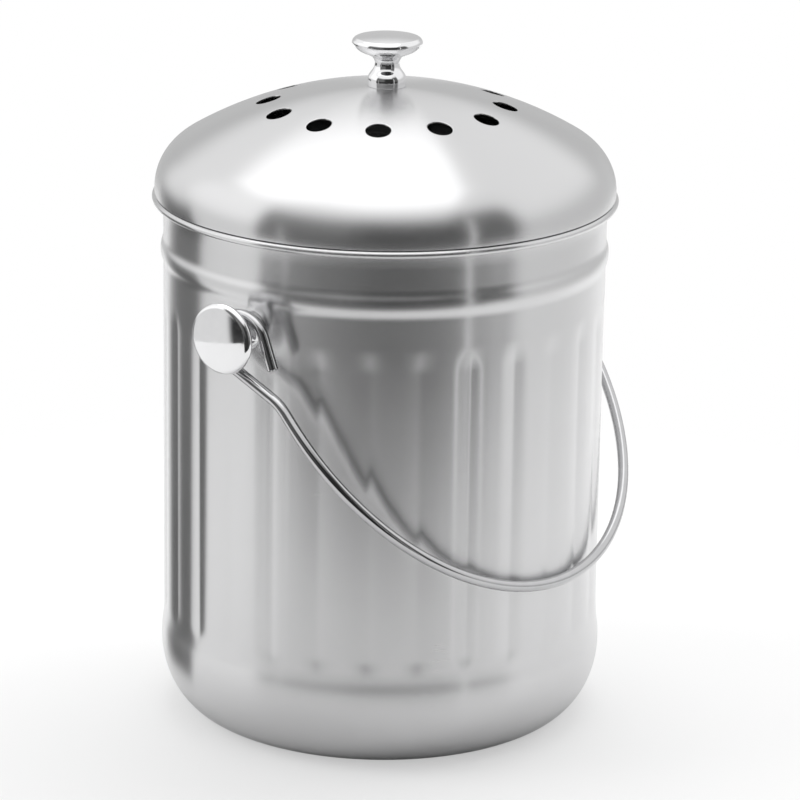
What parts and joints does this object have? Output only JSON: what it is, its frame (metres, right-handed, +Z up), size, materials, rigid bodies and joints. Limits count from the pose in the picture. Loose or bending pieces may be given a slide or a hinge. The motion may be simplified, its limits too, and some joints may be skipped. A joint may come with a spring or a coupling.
{
  "type": "compost caddy",
  "caption": "Fluted steel compost pail with a swinging wire bail and a lift-off domed lid, whose ring of vents sits over a charcoal filter.",
  "frame": {"origin": "centre of the pail's base, on the surface that it stands on", "axes": "+Z up along the pail's axis; X along the bail's pivots; the bail hangs down the front, on the -Y side"},
  "size_m": [0.2222, 0.1902, 0.2845],
  "materials": {
    "satin_steel": "satin brushed stainless steel",
    "polished_chrome": "polished chrome",
    "bail_wire": "polished stainless steel wire",
    "plated_fasteners": "bright zinc plate",
    "holder_plastic": "moulded, fine matte",
    "charcoal_felt": "activated charcoal felt"
  },
  "bodies": {
    "pail": {"pail_body": "satin_steel", "pivot_knob_left": "polished_chrome", "pivot_knob_right": "polished_chrome", "pivot_washer_left": "plated_fasteners", "pivot_washer_right": "plated_fasteners", "pivot_screw_left": "plated_fasteners", "pivot_screw_right": "plated_fasteners"},
    "bail": {"bail_handle": "bail_wire"},
    "lid": {"lid_shell": "satin_steel", "lid_collar": "satin_steel", "lid_knob": "polished_chrome", "knob_washer": "plated_fasteners", "knob_screw": "plated_fasteners", "filter_holder": "holder_plastic", "charcoal_filter": "charcoal_felt"}
  },
  "joints": [
    {"name": "bail_swing", "type": "hinge", "parent": "pail", "child": "bail", "pos_m": [0, 0, 0.182], "axis": [-1, 0, 0], "range_deg": [0, 278.8]},
    {"name": "lid_lift", "type": "slide", "parent": "pail", "child": "lid", "axis": [0, 0, 1], "range_m": [0, 0.12]}
  ]
}
